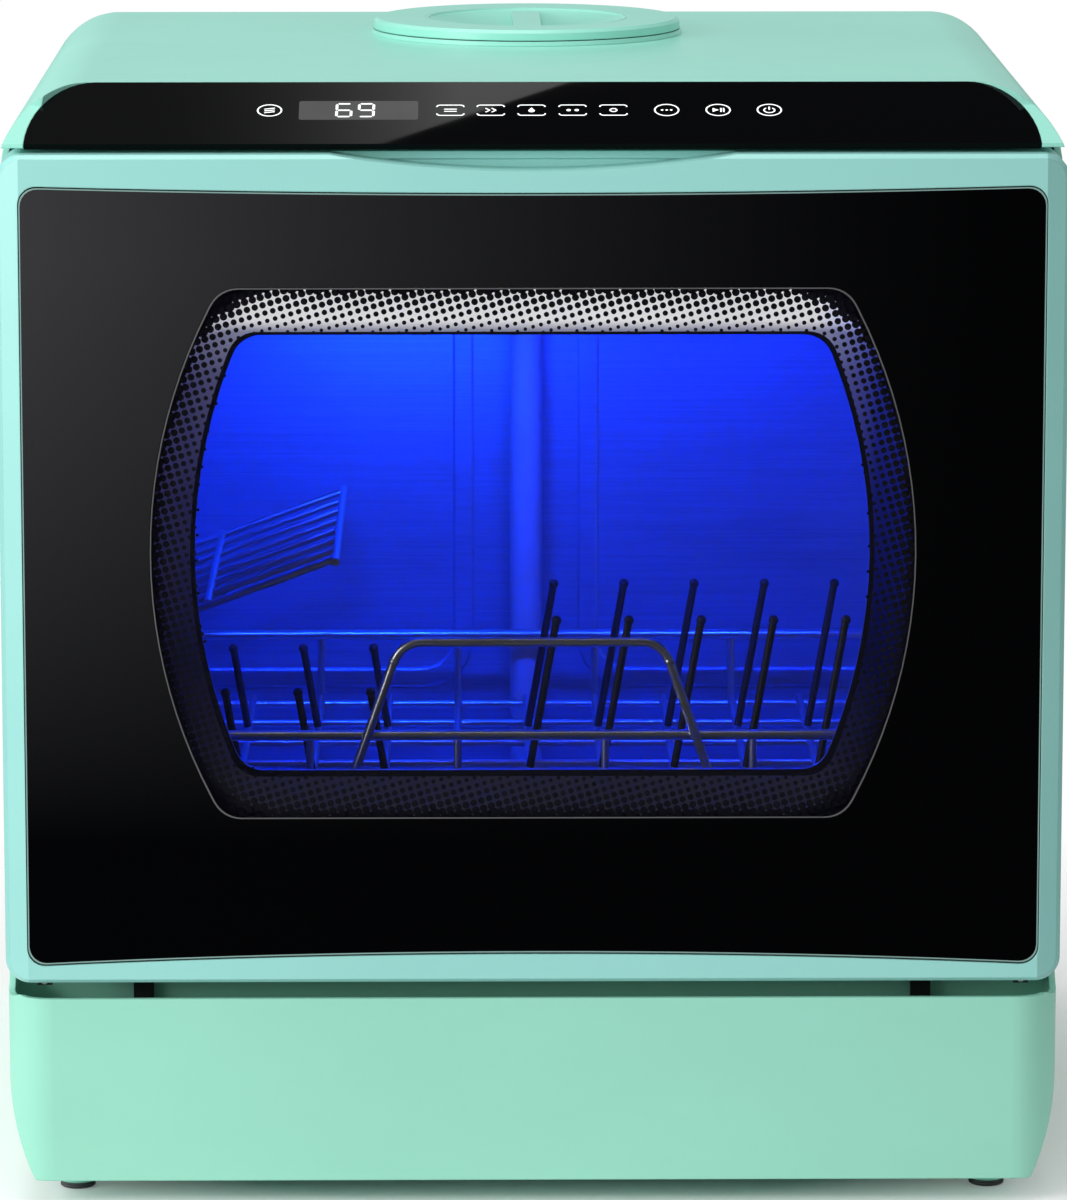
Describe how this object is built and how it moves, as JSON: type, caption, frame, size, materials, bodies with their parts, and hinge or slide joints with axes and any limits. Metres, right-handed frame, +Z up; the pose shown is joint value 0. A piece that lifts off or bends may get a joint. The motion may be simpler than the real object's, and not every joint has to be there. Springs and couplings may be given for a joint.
{
  "type": "countertop dishwasher",
  "caption": "Compact dishwasher for a counter with a drop-down glass door, a touch panel on a sloping nose, a wire rack and a round fill lid on top.",
  "frame": {"origin": "middle of the footprint's bounding box on the counter, under the feet", "axes": "+Z up, the door faces -Y, +X is to the right seen from the front"},
  "size_m": [0.42, 0.4, 0.4518],
  "materials": {
    "mint": "satin",
    "mint_back": "satin",
    "black_glass": "polished",
    "clear_glass": "polished",
    "black_plastic": "satin",
    "dark_plastic": "matt",
    "grey_plastic": "satin",
    "white_plastic": "satin",
    "blue_plastic": "satin",
    "lamp": "diffusing",
    "tub_steel": "brushed",
    "bright_steel": "polished",
    "motor_metal": "satin",
    "heater": "heat tinted",
    "board": "satin",
    "rubber": "matt",
    "coated_wire": "satin"
  },
  "bodies": {
    "cabinet": {"cabinet_shell": "mint", "base_shell": "mint", "bottom_pan": "mint_back", "rubber_feet": "rubber", "rear_cover": "mint_back", "rear_cover_screws": "bright_steel", "control_glass": "black_glass", "control_tray": "black_plastic", "control_board": "board", "display_module": "black_plastic", "power_board": "board", "tub": "tub_steel", "tub_front_frame": "tub_steel", "door_gasket": "rubber", "rack_runners": "grey_plastic", "sump": "dark_plastic", "filter_plate": "tub_steel", "heating_element": "heater", "wash_pump_housing": "dark_plastic", "wash_pump_motor": "motor_metal", "drain_pump_body": "dark_plastic", "upper_feed_pipe": "grey_plastic", "lower_arm_post": "grey_plastic", "water_tank": "white_plastic", "fill_collar": "mint", "inlet_valve": "blue_plastic", "drain_connector": "dark_plastic", "cord_gland": "black_plastic", "drain_hose": "grey_plastic", "fan_housing": "dark_plastic", "cavity_lamps": "lamp", "hinge_brackets": "black_plastic", "hinge_bushes": "white_plastic", "latch_jaws": "dark_plastic", "cup_shelf_clips": "grey_plastic"},
    "door": {"door_frame": "mint", "door_glass": "black_glass", "window_shroud": "grey_plastic", "window_trim": "bright_steel", "door_inner_panel": "tub_steel", "inner_window_pane": "clear_glass", "inner_window_seal": "rubber", "door_hook": "black_plastic", "hinge_clevises": "black_plastic", "hinge_pins": "bright_steel", "door_bumpers": "rubber", "detergent_cup": "grey_plastic"},
    "rack": {"rack_floor": "bright_steel", "rack_walls": "bright_steel", "rack_tines": "coated_wire", "rack_glides": "grey_plastic"},
    "lower_arm": {"lower_spray_arm": "grey_plastic"},
    "upper_arm": {"upper_spray_arm": "grey_plastic"},
    "lid": {"fill_lid": "mint", "fill_lid_seal": "rubber"},
    "shelf": {"cup_shelf": "bright_steel"},
    "filter": {"filter_basket": "grey_plastic"},
    "wash_impeller": {"wash_pump_impeller": "white_plastic"},
    "drain_impeller": {"drain_pump_impeller": "white_plastic"},
    "fan_wheel": {"fan_impeller": "black_plastic"}
  },
  "joints": [
    {"name": "door_hinge", "type": "hinge", "parent": "cabinet", "child": "door", "pos_m": [0, -0.188, 0.099], "axis": [1, 0, 0], "range_deg": [0, 90]},
    {"name": "rack_slide", "type": "slide", "parent": "cabinet", "child": "rack", "axis": [0, -1, 0], "range_m": [0, 0.096]},
    {"name": "lower_arm_spin", "type": "hinge", "parent": "cabinet", "child": "lower_arm", "pos_m": [0, -0.02, 0.134], "axis": [0, 0, 1], "continuous": true},
    {"name": "upper_arm_spin", "type": "hinge", "parent": "cabinet", "child": "upper_arm", "pos_m": [0, -0.02, 0.388], "axis": [0, 0, 1], "continuous": true},
    {"name": "lid_lift", "type": "slide", "parent": "cabinet", "child": "lid", "axis": [0, 0, 1], "range_m": [0, 0.06]},
    {"name": "cup_shelf_fold", "type": "hinge", "parent": "cabinet", "child": "shelf", "pos_m": [-0.185, -0.002, 0.205], "axis": [0, -1, 0], "range_deg": [0, 60]},
    {"name": "filter_twist", "type": "hinge", "parent": "cabinet", "child": "filter", "pos_m": [-0.06, -0.09, 0.1], "axis": [0, 0, 1], "range_deg": [0, 45]},
    {"name": "wash_impeller_spin", "type": "hinge", "parent": "cabinet", "child": "wash_impeller", "pos_m": [0.11, -0.04, 0.05], "axis": [1, 0, 0], "continuous": true},
    {"name": "drain_impeller_spin", "type": "hinge", "parent": "cabinet", "child": "drain_impeller", "pos_m": [0.04, 0.02, 0.05], "axis": [0, 1, 0], "continuous": true},
    {"name": "fan_spin", "type": "hinge", "parent": "cabinet", "child": "fan_wheel", "pos_m": [-0.128, 0.018, 0.425], "axis": [0, 0, 1], "continuous": true}
  ],
  "couplings": [
    {"joint": "rack_slide", "follows": "door_hinge", "m_per_rad": 0.0605}
  ]
}
